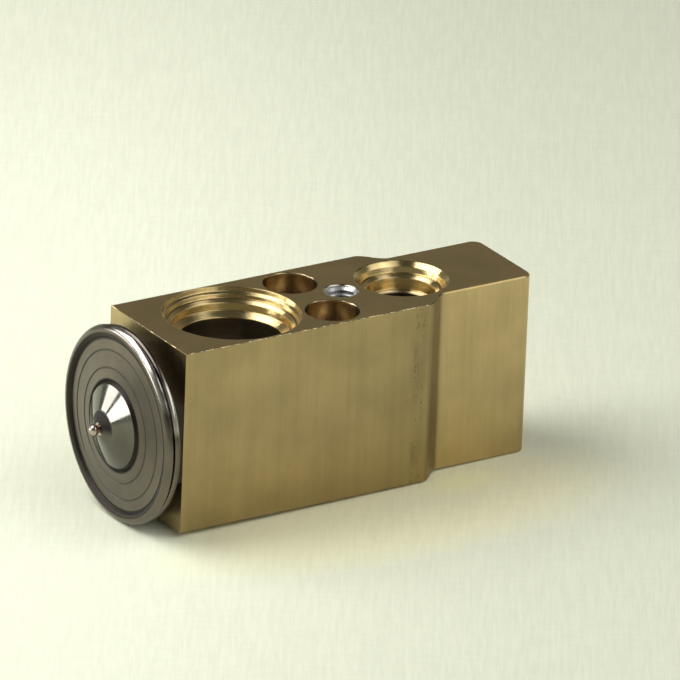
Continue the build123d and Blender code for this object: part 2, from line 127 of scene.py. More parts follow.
class Graph:
    # short calls for one node tree
    def __init__(self, tree):
        self.tree = tree

    def plug(self, socket, value):
        if value is None:
            return
        if isinstance(value, bpy.types.NodeSocket):
            self.tree.links.new(value, socket)
        elif socket.type == "RGBA" and len(value) == 3:
            socket.default_value = (*value, 1)
        else:
            socket.default_value = value

    def add(self, kind, values=None, **settings):
        node = self.tree.nodes.new(kind)
        for name, value in settings.items():
            setattr(node, name, value)
        for key, value in (values or {}).items():
            self.plug(node.inputs[key], value)
        return node

    def math(self, operation, a, b=None):
        node = self.add("ShaderNodeMath", {0: a}, operation=operation)
        if b is not None:
            self.plug(node.inputs[1], b)
        return node.outputs[0]

    def vector(self, operation, a, b=None, scale=None):
        node = self.add("ShaderNodeVectorMath", {0: a}, operation=operation)
        if b is not None:
            self.plug(node.inputs[1], b)
        if scale is not None:
            self.plug(node.inputs["Scale"], scale)
        return node.outputs["Value" if operation in ("LENGTH", "DOT_PRODUCT") else 0]

    def product(self, *values):
        result = values[0]
        for value in values[1:]:
            result = self.math("MULTIPLY", result, value)
        return result

    def opposite(self, mask):
        return self.math("SUBTRACT", 1.0, mask)

    def distance(self, value, centre):
        # how far a number is from the centre, on either side
        return self.math("ABSOLUTE", self.math("SUBTRACT", value, centre))

    def shade(self, colour, amount):
        return self.vector("SCALE", colour, scale=amount)

    def mix(self, factor, a, b):
        return self.add("ShaderNodeMix", {0: factor, 6: a, 7: b}, data_type="RGBA").outputs[2]

    def between(self, value, low, high, newLow=0.0, newHigh=1.0, smooth=True):
        style = "SMOOTHSTEP" if smooth else "LINEAR"
        node = self.add("ShaderNodeMapRange", {0: value, 1: low, 2: high, 3: newLow, 4: newHigh},
                        interpolation_type=style)
        return node.outputs[0]

    def noise(self, vector, scale, detail=2.0, roughness=0.5):
        node = self.add("ShaderNodeTexNoise", {
            "Vector": vector, "Scale": scale, "Detail": detail, "Roughness": roughness})
        return node.outputs[0]

    def group(self, shared, **values):
        node = self.add("ShaderNodeGroup", node_tree=shared)
        for name, value in values.items():
            self.plug(node.inputs[name], value)
        return node.outputs


def sharedGroup(name, inputs, outputs):
    tree = bpy.data.node_groups.new(name, "ShaderNodeTree")
    kinds = {"float": "NodeSocketFloat", "vector": "NodeSocketVector"}
    for socketName, kind, default in inputs:
        socket = tree.interface.new_socket(name=socketName, in_out="INPUT", socket_type=kinds[kind])
        socket.default_value = default
    for socketName, kind in outputs:
        tree.interface.new_socket(name=socketName, in_out="OUTPUT", socket_type=kinds[kind])
    graph = Graph(tree)
    return graph, graph.add("NodeGroupInput").outputs, graph.add("NodeGroupOutput").inputs


def makeStreaks():
    # fine parallel lines; Stretch is small along the lines
    graph, given, result = sharedGroup(
        "streaks",
        [("Point", "vector", (0, 0, 0)), ("Stretch", "vector", (1, 1, 0.02)),
         ("Scale", "float", 4000)],
        [("Fine", "float"), ("Broad", "float")])
    stretched = graph.vector("MULTIPLY", given["Point"], given["Stretch"])
    fine = graph.noise(stretched, given["Scale"], detail=4, roughness=0.7)
    broadScale = graph.math("MULTIPLY", given["Scale"], 0.09)
    broad = graph.noise(stretched, broadScale, detail=3, roughness=0.6)
    graph.plug(result["Fine"], fine)
    graph.plug(result["Broad"], broad)
    return graph.tree


def makeTurning():
    # tool marks left by turning: rings that depend only on radius and height
    graph, given, result = sharedGroup(
        "turning",
        [("Radius", "float", 0), ("Height", "float", 0), ("Scale", "float", 6000)],
        [("Fine", "float"), ("Broad", "float")])
    rings = graph.add("ShaderNodeCombineXYZ", {0: given["Radius"], 1: given["Height"]}).outputs[0]
    graph.plug(result["Fine"], graph.noise(rings, given["Scale"], detail=3, roughness=0.65))
    broadScale = graph.math("MULTIPLY", given["Scale"], 0.12)
    graph.plug(result["Broad"], graph.noise(rings, broadScale, detail=2))
    return graph.tree


def makeSpecks():
    # small scattered pits and stains, stretched by Stretch
    graph, given, result = sharedGroup(
        "specks",
        [("Point", "vector", (0, 0, 0)), ("Stretch", "vector", (1, 1, 1)), ("Scale", "float", 600),
         ("Size", "float", 0.12), ("Share", "float", 0.25)],
        [("Specks", "float")])
    stretched = graph.vector("MULTIPLY", given["Point"], given["Stretch"])
    cells = graph.add("ShaderNodeTexVoronoi", {"Vector": stretched, "Scale": given["Scale"]})
    near = graph.between(cells.outputs["Distance"], given["Size"], 0.0)
    chance = graph.add("ShaderNodeSeparateColor", {0: cells.outputs["Color"]}).outputs[0]
    kept = graph.math("GREATER_THAN", chance, graph.opposite(given["Share"]))
    graph.plug(result["Specks"], graph.product(near, kept))
    return graph.tree


streaks = makeStreaks()
turning = makeTurning()
specks = makeSpecks()


def newMaterial(name, metallic, colour, roughness):
    material = bpy.data.materials.new(name)
    material.use_nodes = True
    material.diffuse_color = (*colour, 1)
    graph = Graph(material.node_tree)
    shader = next(node for node in material.node_tree.nodes if node.type == "BSDF_PRINCIPLED")
    shader.inputs["Metallic"].default_value = metallic
    shader.inputs["Base Color"].default_value = (*colour, 1)
    shader.inputs["Roughness"].default_value = roughness
    return material, graph, shader


def bump(graph, shader, height, distance, strength=1.0, normal=None):
    node = graph.add("ShaderNodeBump", {
        "Height": height, "Distance": distance, "Strength": strength, "Normal": normal})
    graph.plug(shader.inputs["Normal"], node.outputs[0])


def objectPoint(graph):
    return graph.add("ShaderNodeTexCoord").outputs["Object"]


# --- gold chromated block

goldSettings = {
    "side": (0.405, 0.309, 0.160),
    "face": (0.485, 0.355, 0.158),
    "turned": (0.60, 0.465, 0.225),
    "wall": (0.47, 0.35, 0.15),
    # painted shade: the deep bores drawn dark
    "bore": (0.16, 0.125, 0.075),
    "screwHole": (0.60, 0.49, 0.32),
    "bare": (0.66, 0.66, 0.62),
    "speck": (0.12, 0.095, 0.05),
    "sideRoughness": 0.34,
    "faceRoughness": 0.33,
    "turnedRoughness": 0.18,
    "boreRoughness": 0.35,
    "grain": 5200,                 # lines of the drawn sides and the milled faces
    "grainSpread": 0.50,
    "clouds": 90,
    "skinDepth": 0.0024,           # mm
    "grooves": 16000,              # rings left by turning
    "grooveDepth": 0.010,          # mm
    "turnedEdge": 0.25,            # mm, rounding of the turned edges
    "wallTilt": 0.36,              # how far the turned walls open outwards
    "rimRoom": 0.06,               # mm outside a hole's rim that still counts as turned
    "studRoom": 0.3,
    "boreStart": (4.6, 5.2),       # mm below a face, where the steps give way to the bore
    "wideShade": 0.92,             # of the wide sides, towards the waist
    "wideFade": (-5, 16),          # mm along the block
    # painted shade: the waist's slope and hollow drawn darker
    "paintedWaistShade": 0.68,
    "paintedWaistFade": (17, 18.5),
    "noseShade": 1.36,
    "noseFade": (21.3, 22.7),
    "paintedHeightLight": (0.97, 1.09),   # painted light: darker low down and lighter high up
    "paintedHeightFade": (12, 34),        # mm above the lower face
    "scuffs": 650,
    "scuffShade": (0.22, 1.6),
    "edgeRoom": 0.3,               # mm below a face in which its broken edge lies
    "smudges": 420,
    "smudgeReach": 3,              # mm each side of the first die line
    "smudgeShade": 0.76,
    "dieLines": ((14.9, 0.65), (16.3, 0.35)),   # mm along the block, and half their width
    "dieSpecks": {"Scale": 1900, "Size": 0.50, "Share": 0.42},
}
holeZones = (        # mount, side of a pair, rim radius, lowest and highest point in mm
    ("line_suction_port", 0, 12.75, 17.5, 36.0),
    ("evaporator_suction_port", 0, 12.75, -1.0, 17.5),
    ("line_liquid_inlet", 0, 8.75, 17.5, 36.0),
    ("evaporator_liquid_outlet", 0, 8.75, -1.0, 20.0),
    ("mounting_screws", -0.5, 5.0, -1.0, 36.0),
    ("mounting_screws", 0.5, 5.0, -1.0, 36.0),
)
studZone = (20.0, 36.0)            # mm, lowest and highest point of the bare stud hole


def roundZone(graph, place, centre, radius, low, high):
    # arrow from a vertical hole's axis, its length, and 1 inside the hole
    offset = graph.add("ShaderNodeCombineXYZ", {
        0: graph.math("SUBTRACT", place[0], centre[0]),
        1: graph.math("SUBTRACT", place[1], centre[1])}).outputs[0]
    distance = graph.vector("LENGTH", offset)
    inside = graph.product(graph.math("LESS_THAN", distance, radius),
                           graph.math("GREATER_THAN", place[2], low),
                           graph.math("LESS_THAN", place[2], high))
    return offset, distance, inside


def extreme(graph, operation, values):
    # the largest or the smallest of several numbers
    result = values[0]
    for value in values[1:]:
        result = graph.math(operation, result, value)
    return result


def blend(graph, factor, a, b):
    # plain numbers, a where factor is 0 and b where it is 1
    return graph.add("ShaderNodeMix", {0: factor, 2: a, 3: b}, data_type="FLOAT").outputs[0]


def turnArrow(graph, factor, a, b):
    return graph.add("ShaderNodeMix", {0: factor, 4: a, 5: b}, data_type="VECTOR").outputs[1]


def makeGold():
    s = goldSettings
    material, graph, shader = newMaterial("goldAluminium", 1.0, s["side"], s["sideRoughness"])
    coordinate = graph.add("ShaderNodeTexCoord").outputs
    point = coordinate["Object"]
    place = graph.add("ShaderNodeSeparateXYZ", {0: point}).outputs
    facing = graph.add("ShaderNodeSeparateXYZ", {0: coordinate["Normal"]}).outputs
    upright = graph.math("ABSOLUTE", facing[2])

    # which hole a point lies in, and the arrow to it from that hole's axis
    distances, ports, holes, arrow = [], [], [], (0, 0, 0)
    spacing = mounts["mounting_screws"]["dims"]["spacing_y_mm"] * mm
    for name, side, radius, low, high in holeZones:
        centre = Vector(mounts[name]["pos_m"][:2]) + Vector((0, side * spacing))
        offset, distance, inside = roundZone(
            graph, place, centre, (radius + s["rimRoom"]) * mm, low * mm, high * mm)
        arrow = graph.vector("ADD", arrow, graph.shade(offset, inside))
        distances.append(distance)
        (holes if name == "mounting_screws" else ports).append(inside)
    stud = mounts["stud_hole"]
    studReach = (stud["dims"]["r_mm"] + s["studRoom"]) * mm
    offset, distance, inStud = roundZone(
        graph, place, stud["pos_m"][:2], studReach, *inMetres(studZone))
    arrow = graph.vector("ADD", arrow, graph.shade(offset, inStud))
    distances.append(distance)
    nearest = extreme(graph, "MINIMUM", distances)
    inPort, inHole = (extreme(graph, "MAXIMUM", masks) for masks in (ports, holes))
    inTurned = extreme(graph, "MAXIMUM", [inPort, inHole, inStud])

    # depth below the nearer face
    depth = graph.math("SUBTRACT", (blockHigh.z - blockLow.z) / 2,
                       graph.distance(place[2], axisHeight))
    deep = graph.between(depth, *inMetres(s["boreStart"]))
    isFace = graph.between(upright, 0.4, 0.6)
    isWall = graph.product(inPort, graph.opposite(deep), graph.between(upright, 0.4, 0.2))
    onNose = graph.between(place[0], *inMetres(s["noseFade"]))

    lines = graph.group(streaks, Point=point, Stretch=(1, 1, 0.015), Scale=s["grain"])
    milled = graph.group(streaks, Point=point, Stretch=(0.03, 1, 1), Scale=s["grain"])
    rings = graph.group(turning, Radius=nearest, Height=place[2], Scale=s["grooves"])
    cloud = graph.noise(point, s["clouds"], detail=4, roughness=0.55)

    # drawn sides and milled faces
    sideTone = graph.math("ADD", graph.between(lines["Fine"], 0.3, 0.7, 0.95, 1.05),
                          graph.between(lines["Broad"], 0.35, 0.65, -0.035, 0.035))
    faceTone = graph.between(milled["Fine"], 0.3, 0.7, 0.95, 1.05)
    skin = graph.mix(isFace, graph.shade(s["side"], sideTone), graph.shade(s["face"], faceTone))
    skin = graph.shade(skin, graph.between(cloud, 0.3, 0.7, 0.91, 1.08))
    # the sides' tone: darker towards the waist and drawn lighter on the nose, with painted shade on
    # the waist's slope and painted light high up
    sideToneAndPaintedShade = graph.between(place[0], *inMetres(s["wideFade"]), 1.0, s["wideShade"])
    paintedWaistMask = graph.between(place[0], *inMetres(s["paintedWaistFade"]))
    sideToneAndPaintedShade = blend(graph, paintedWaistMask, sideToneAndPaintedShade, s["paintedWaistShade"])
    sideToneAndPaintedShade = blend(graph, onNose, sideToneAndPaintedShade, s["noseShade"])
    # painted light: the sides drawn darker low down and lighter high up
    paintedHeightLight = graph.between(place[2], *inMetres(s["paintedHeightFade"]), *s["paintedHeightLight"])
    sideToneAndPaintedShade = graph.math("MULTIPLY", sideToneAndPaintedShade, paintedHeightLight)
    skin = graph.shade(skin, blend(graph, isFace, sideToneAndPaintedShade, 1.0))

    # smudges and specks along the die lines
    firstLine = s["dieLines"][0][0] * mm
    besideLine = graph.between(graph.distance(place[0], firstLine), s["smudgeReach"] * mm, 0)
    smudge = graph.noise(graph.vector("MULTIPLY", point, (1, 1, 0.4)), s["smudges"], detail=4)
    smudge = graph.product(graph.between(smudge, 0.45, 0.7), besideLine, graph.opposite(isFace))
    skin = graph.shade(skin, graph.between(smudge, 0, 1, 1.0, s["smudgeShade"], smooth=False))
    dieSpecks = graph.group(specks, Point=point, Stretch=(1, 1, 0.6), **s["dieSpecks"])["Specks"]
    dieLines = extreme(graph, "MAXIMUM", [
        graph.between(graph.distance(place[0], x * mm), width * mm, 0)
        for x, width in s["dieLines"]])
    dieMarks = graph.product(dieSpecks, dieLines, graph.math("LESS_THAN", place[1], 0))
    skin = graph.mix(dieMarks, skin, s["speck"])

    # painted shade: deep in the bores the colour turns dark
    turned = graph.mix(isWall, graph.mix(deep, s["turned"], s["bore"]), s["wall"])
    turned = graph.shade(turned, graph.between(rings["Broad"], 0.3, 0.7, 0.92, 1.08))
    colour = graph.mix(inPort, skin, turned)
    colour = graph.mix(inHole, colour, s["screwHole"])
    colour = graph.mix(inStud, colour, s["bare"])

    # the broken edges of the wide part are dark, with bright scuffs
    edge = graph.product(graph.between(upright, 0.2, 0.4), graph.between(upright, 0.95, 0.85),
                         graph.opposite(onNose), graph.between(depth, s["edgeRoom"] * mm, 0))
    scuff = graph.between(graph.noise(point, s["scuffs"], detail=3, roughness=0.7), 0.50, 0.60)
    scuffed = graph.shade(s["side"], graph.between(scuff, 0, 1, *s["scuffShade"]))
    graph.plug(shader.inputs["Base Color"], graph.mix(edge, colour, scuffed))

    sideRough, faceRough = (
        graph.between(marks["Fine"], 0.25, 0.75, roughness - 0.04, roughness + 0.05)
        for marks, roughness in ((lines, s["sideRoughness"]), (milled, s["faceRoughness"])))
    ringRough = graph.math("ADD", blend(graph, deep, s["turnedRoughness"], s["boreRoughness"]),
                           graph.between(rings["Fine"], 0.3, 0.7, -0.03, 0.04))
    graph.plug(shader.inputs["Roughness"], blend(
        graph, inTurned, blend(graph, isFace, sideRough, faceRough), ringRough))

    rounded = graph.add("ShaderNodeBevel", {"Radius": s["turnedEdge"] * mm}, samples=6).outputs[0]
    outwards = graph.math("SIGN", graph.math("SUBTRACT", place[2], axisHeight))
    tilt = graph.add("ShaderNodeCombineXYZ", {2: graph.product(isWall, outwards, s["wallTilt"])})
    rounded = graph.vector("NORMALIZE", graph.vector("ADD", rounded, tilt.outputs[0]))
    plain = graph.add("ShaderNodeNewGeometry").outputs["Normal"]
    skinHeight = graph.math("MULTIPLY", blend(graph, isFace, lines["Fine"], milled["Fine"]),
                            s["skinDepth"] / s["grooveDepth"])
    bump(graph, shader, blend(graph, inTurned, skinHeight, rings["Fine"]), s["grooveDepth"] * mm,
         normal=turnArrow(graph, inTurned, plain, rounded))

    # light spreads across the grain: up and down the turned walls, sideways on the drawn sides
    grain = turnArrow(graph, isFace, (0, 0, 1), (1, 0, 0))
    grain = turnArrow(graph, inTurned, grain, graph.vector("CROSS_PRODUCT", (0, 0, 1), arrow))
    graph.plug(shader.inputs["Tangent"], graph.vector(
        "NORMALIZE", graph.vector("CROSS_PRODUCT", grain, plain)))
    shader.inputs["Anisotropic"].default_value = s["grainSpread"]
    return material


# --- stainless power head

steelSettings = {
    "colour": (0.138, 0.118, 0.096),
    "cone": (0.120, 0.114, 0.098),
    "ball": (0.42, 0.34, 0.30),
    # painted highlight colour, put where the lamps' highlights fall on the bead and the rim
    "paintedHighlightColour": (0.52, 0.50, 0.46),
    # painted shade: the creases, the ring round the ball and the hexagon behind the rim drawn dark
    "paintedShade": (0.018, 0.016, 0.014),
    "roughness": 0.30,
    "coneRoughness": 0.10,
    "beadRoughness": 0.20,
    "rimRoughness": 0.20,
    "clouds": 160,
    "rings": 4200,
    "ringDepth": 0.003,            # mm
    "coneReach": 7.8,              # mm from the axis
    "ballReach": 1.2,
    "beadStart": 16.3,
    "rimStart": 17.3,
    "ballStart": -44.5,            # mm along the valve
    "hexTop": -38.05,              # where the hexagon meets the rim
    "hexReach": 11.0,              # mm from the axis
    "hexPaintedShade": 0.80,
    "beadPaintedHighlight": (7.5, 10.5, 30.0, 31.0),     # mm above the axis where the painted highlight starts and ends
    "rimPaintedHighlight": (3.5, 5.5, 11.5, 13.5),
    "flankFade": (17.75, 18.0),    # mm from the axis, the bead's outer flank
    "paintedHighlightFade": (4, 1),           # mm across, where the painted highlight ends at the far side
    "paintedShadePatch": ((-8.0, 6.0), 15.0, 0.60),   # painted shade on the cap: middle across and up from the axis, reach in mm, shade
    # radius, half width and darkness of each ring of painted shade
    "paintedShadeRings": ((0, 3.6, 0.97), (8.3, 0.62, 0.9), (10.7, 0.26, 0.7), (13.9, 0.26, 0.7),
                  (16.5, 0.8, 0.9)),
}


def axisPlace(graph):
    # a point, its three parts and its distance from the valve's axis
    point = objectPoint(graph)
    place = graph.add("ShaderNodeSeparateXYZ", {0: point}).outputs
    above = graph.math("SUBTRACT", place[2], axisHeight)
    offset = graph.add("ShaderNodeCombineXYZ", {0: place[1], 1: above})
    return point, place, graph.vector("LENGTH", offset.outputs[0])


def makeSteel():
    s = steelSettings
    material, graph, shader = newMaterial("stainlessSteel", 1.0, s["colour"], s["roughness"])
    point, place, radius = axisPlace(graph)
    above = graph.math("SUBTRACT", place[2], axisHeight)
    rings = graph.group(turning, Radius=radius, Height=place[0], Scale=s["rings"])
    cloud = graph.noise(point, s["clouds"], detail=5, roughness=0.6)

    onCap = graph.math("LESS_THAN", place[0], capEnd)
    onCone = graph.product(onCap, graph.between(
        radius, (s["coneReach"] + 0.1) * mm, s["coneReach"] * mm))
    onBall = graph.product(graph.math("LESS_THAN", place[0], s["ballStart"] * mm),
                           graph.math("LESS_THAN", radius, s["ballReach"] * mm))
    onBead = graph.product(onCap, graph.math("GREATER_THAN", radius, s["beadStart"] * mm))
    onRim = graph.product(graph.math("GREATER_THAN", radius, s["rimStart"] * mm),
                          graph.math("GREATER_THAN", place[0], capEnd),
                          graph.math("LESS_THAN", place[0], s["hexTop"] * mm))

    # painted shade on the hexagon behind the rim, in the creases and above the ball
    paintedShade = graph.product(graph.between(place[0], (s["hexTop"] - 0.2) * mm, s["hexTop"] * mm),
                          graph.math("GREATER_THAN", radius, s["hexReach"] * mm), s["hexPaintedShade"])
    for centre, width, strength in s["paintedShadeRings"]:
        line = graph.between(graph.distance(radius, centre * mm), width * mm,
                             (width * 0.9 - 0.12) * mm, 0, strength)
        if centre == 0:               # round the ball the painted shade lies only above it
            line = graph.product(line, graph.between(above, -mm, mm))
        paintedShade = graph.math("MAXIMUM", paintedShade, graph.product(onCap, line))
    paintedShade = graph.product(paintedShade, graph.opposite(onBall))

    # painted highlights: a pale colour on the bead's outer flank and on the rim where the lamps'
    # highlights fall
    paintedHighlightMask = 0.0
    flank = graph.product(onBead, graph.between(radius, *inMetres(s["flankFade"])))
    for zone, (start, full, fading, end) in ((flank, s["beadPaintedHighlight"]), (onRim, s["rimPaintedHighlight"])):
        band = graph.product(zone, graph.between(above, start * mm, full * mm),
                             graph.between(above, end * mm, fading * mm))
        paintedHighlightMask = graph.math("MAXIMUM", paintedHighlightMask, band)
    paintedHighlightMask = graph.product(paintedHighlightMask, graph.between(place[1], *inMetres(s["paintedHighlightFade"])))

    # painted shade: a dark patch on the cap, fading out from its middle
    (aside, up), reach, paintedPatchShade = s["paintedShadePatch"]
    spot = graph.vector("SUBTRACT", point, Vector((0, aside * mm, up * mm + axisHeight)))
    spot = graph.vector("LENGTH", graph.vector("MULTIPLY", spot, (0, 1, 1)))
    paintedShadePatch = graph.between(spot, 0.15 * reach * mm, reach * mm, paintedPatchShade, 1.0)
    colour = graph.shade(s["colour"], blend(graph, onCap, 1.0, paintedShadePatch))
    for zone, finish in ((onCone, "cone"), (onBall, "ball"), (paintedHighlightMask, "paintedHighlightColour")):
        colour = graph.mix(zone, colour, s[finish])
    colour = graph.shade(colour, graph.product(graph.between(rings["Broad"], 0.3, 0.7, 0.95, 1.05),
                                               graph.between(cloud, 0.3, 0.7, 0.9, 1.12)))
    graph.plug(shader.inputs["Base Color"], graph.mix(paintedShade, colour, s["paintedShade"]))

    rough = s["roughness"]
    for zone, finish in ((onCone, "coneRoughness"), (onBead, "beadRoughness"),
                         (onRim, "rimRoughness")):
        rough = blend(graph, zone, rough, s[finish])
    rough = graph.math("ADD", rough, graph.between(rings["Fine"], 0.3, 0.7, -0.03, 0.04))
    rough = graph.math("MAXIMUM", rough, graph.product(paintedShade, 0.5))
    graph.plug(shader.inputs["Roughness"], rough)
    height = graph.product(rings["Fine"], graph.opposite(onCone))
    bump(graph, shader, height, s["ringDepth"] * mm, 0.5)
    return material


# --- inner pieces

plainFinishes = {                # slot: metallic, colour, roughness, ring scale
    "spring_steel": (1.0, (0.42, 0.42, 0.42), 0.30, 3000),
    "plain_aluminium": (1.0, (0.65, 0.65, 0.64), 0.33, 5000),
    "brass": (1.0, (0.60, 0.44, 0.18), 0.28, 5000),
    "seal_rubber": (0.0, (0.03, 0.035, 0.03), 0.55, 1500),
}


def makePlain(name, finish):
    metallic, base, roughness, scale = finish
    material, graph, shader = newMaterial(name, metallic, base, roughness)
    point, place, radius = axisPlace(graph)
    rings = graph.group(turning, Radius=radius, Height=place[0], Scale=scale)
    tone = graph.between(rings["Broad"], 0.3, 0.7, 0.9, 1.1)
    graph.plug(shader.inputs["Base Color"], graph.shade(base, tone))
    graph.plug(shader.inputs["Roughness"], graph.between(
        rings["Fine"], 0.3, 0.7, roughness - 0.06, roughness + 0.06))
    bump(graph, shader, rings["Fine"], 0.003 * mm, 0.5)
    return material


slotMaterials = {"gold_aluminium": makeGold(), "stainless_steel": makeSteel()}
for slotName, finish in plainFinishes.items():
    slotMaterials[slotName] = makePlain(slotName.replace("_", " ").title().replace(" ", ""), finish)
for part in frame["record"]["subparts"]:
    for materialSlot in nodes[part["node"]].material_slots:
        materialSlot.material = slotMaterials[part["material_slot"]]
print("materials ready")


# --- pieces grown by geometry nodes

def newTree(name, inputs):
    # an empty tree with named inputs, its graph and the identifiers of its sockets
    tree = bpy.data.node_groups.new(name, "GeometryNodeTree")
    tree.interface.new_socket(name="Geometry", in_out="INPUT", socket_type="NodeSocketGeometry")
    kinds = {float: "NodeSocketFloat", int: "NodeSocketInt", tuple: "NodeSocketVector"}
    identifiers = {}
    for socketName, default in inputs.items():
        socket = tree.interface.new_socket(
            name=socketName, in_out="INPUT", socket_type=kinds[type(default)])
        socket.default_value = default
        identifiers[socketName] = socket.identifier
    finish = tree.interface.new_socket(
        name="Finish", in_out="INPUT", socket_type="NodeSocketMaterial")
    identifiers["Finish"] = finish.identifier
    tree.interface.new_socket(name="Geometry", in_out="OUTPUT", socket_type="NodeSocketGeometry")
    graph = Graph(tree)
    return graph, graph.add("NodeGroupInput").outputs, identifiers


def endTree(graph, geometry, finish):
    real = graph.add("GeometryNodeRealizeInstances", {0: geometry})
    finished = graph.add("GeometryNodeSetMaterial", {
        "Geometry": real.outputs[0], "Material": finish})
    graph.plug(graph.add("NodeGroupOutput").inputs[0], finished.outputs[0])


def grow(name, graph, identifiers, values):
    # runs a tree once and keeps what it makes as a plain mesh
    source = bpy.data.objects.new(name + "Source", bpy.data.meshes.new(name + "Source"))
    scene.collection.objects.link(source)
    modifier = source.modifiers.new(name, "NODES")
    modifier.node_group = graph.tree
    for key, value in values.items():
        modifier[identifiers[key]] = value
    evaluated = source.evaluated_get(bpy.context.evaluated_depsgraph_get())
    mesh = bpy.data.meshes.new_from_object(evaluated)
    bpy.data.objects.remove(source)
    return mesh


def newPiece(name, mesh, smooth):
    for polygon in mesh.polygons:
        polygon.use_smooth = smooth
    piece = bpy.data.objects.new(name, mesh)
    scene.collection.objects.link(piece)
    return piece


def woundTree():
    # a triangular or round section wound round the Z axis
    graph, given, identifiers = newTree("woundSection", {
        "Radius": 3.0 * mm, "Pitch": 1.0 * mm, "Turns": 10.0, "Width": 0.8 * mm,
        "Depth": 0.5 * mm, "Sides": 3, "Steps": 40})
    height = graph.math("MULTIPLY", given["Pitch"], given["Turns"])
    spiral = graph.add("GeometryNodeCurveSpiral", {
        "Resolution": given["Steps"], "Rotations": given["Turns"], "Start Radius": given["Radius"],
        "End Radius": given["Radius"], "Height": height})
    upright = graph.add("GeometryNodeSetCurveNormal", {"Curve": spiral.outputs[0]})
    upright.mode = "Z_UP"
    section = graph.add("GeometryNodeCurvePrimitiveCircle", {
        "Resolution": given["Sides"], "Radius": 1.0})
    size = graph.add("ShaderNodeCombineXYZ", {0: given["Depth"], 1: given["Width"], 2: 1.0})
    shaped = graph.add("GeometryNodeTransform", {
        "Geometry": section.outputs[0], "Scale": size.outputs[0]})
    swept = graph.add("GeometryNodeCurveToMesh", {
        "Curve": upright.outputs[0], "Profile Curve": shaped.outputs[0], "Fill Caps": True})
    endTree(graph, swept.outputs[0], given["Finish"])
    return graph, identifiers


woundGraph, woundSockets = woundTree()


def woundPiece(name, place, smooth, **values):
    mesh = grow(name, woundGraph, woundSockets, values)
    mesh.transform(place)
    work = bmesh.new()
    work.from_mesh(mesh)
    bmesh.ops.recalc_face_normals(work, faces=work.faces)
    work.to_mesh(mesh)
    work.free()
    return newPiece(name, mesh, smooth)


# sizes in mm, startDepth below the upper face
studThread = {"pitch": 1.0, "turns": 11.3, "depth": 0.40, "width": 0.50, "startDepth": 11.7,
              "sides": 3, "steps": 36}


def makeStudThread():
    s = studThread
    stud = mounts["stud_hole"]
    start = Vector((*stud["pos_m"][:2], blockHigh.z - s["startDepth"] * mm))
    piece = woundPiece(
        "stud_thread", Matrix.Translation(start), False,
        Radius=(stud["dims"]["r_mm"] - s["depth"] / 2) * mm, Pitch=s["pitch"] * mm,
        Turns=s["turns"], Width=s["width"] * mm, Depth=s["depth"] * mm,
        Sides=s["sides"], Steps=s["steps"],
        Finish=slotMaterials["plain_aluminium"])
    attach(piece, "block")


def ground(piece, start, end):
    # cuts the ends of a piece flat across X, as a spring's ends are ground
    work = bmesh.new()
    work.from_mesh(piece.data)
    for x, side in ((start, -1), (end, 1)):
        if x is None:
            continue
        cut = bmesh.ops.bisect_plane(
            work, geom=work.verts[:] + work.edges[:] + work.faces[:], plane_co=(x, 0, 0),
            plane_no=(side, 0, 0), clear_outer=True, clear_inner=False)
        rims = [edge for edge in cut["geom_cut"]
                if isinstance(edge, bmesh.types.BMEdge) and edge.is_boundary]
        for face in bmesh.ops.holes_fill(work, edges=rims)["faces"]:
            face.smooth = False
    work.to_mesh(piece.data)
    work.free()


# sizes in mm; the wire runs on by the overrun before its ends are ground
springSettings = {"wire": 0.5, "meanRadius": 3.55, "turns": 5.0, "overrun": 0.25,
                  "sides": 16, "steps": 40}


def makeSpring():
    # the front half gives way to the ball's carrier, the rear half follows the screw
    s = springSettings
    low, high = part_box("bias_spring")
    middle = (low.x + high.x) / 2
    pitch = (high.x - low.x) / s["turns"]
    quarter = Matrix.Rotation(math.radians(90), 4, "Y")
    overrun = s["overrun"] * mm
    for name, start, end in (("bias_spring_front", low.x - overrun, middle),
                             ("bias_spring_rear", middle, high.x + overrun)):
        spin = Matrix.Rotation(2 * math.pi * (start - low.x) / pitch, 4, "Z")
        piece = woundPiece(
            name, Matrix.Translation((start, 0, axisHeight)) @ quarter @ spin, True,
            Radius=s["meanRadius"] * mm, Pitch=pitch, Turns=(end - start) / pitch,
            Width=s["wire"] * mm, Depth=s["wire"] * mm, Sides=s["sides"], Steps=s["steps"],
            Finish=slotMaterials["spring_steel"])
        if end == middle:
            ground(piece, low.x, None)
            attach(piece, "block")
            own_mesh(piece)
            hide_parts("bias_spring")
        else:
            ground(piece, None, high.x)
            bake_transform(piece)


burrSettings = {
    "colour": (0.88, 0.80, 0.58),
    "roughness": 0.22,
    "run": (-33.5, 17.0),          # mm along the block
    "inset": (0.04, 0.03),         # mm in from the side and down from the face
    "count": 60, "seed": 11,
    "size": (0.05, 0.18),          # mm, smallest and largest radius
    "grain": 9000,
    "grainDepth": 0.02,            # mm
}


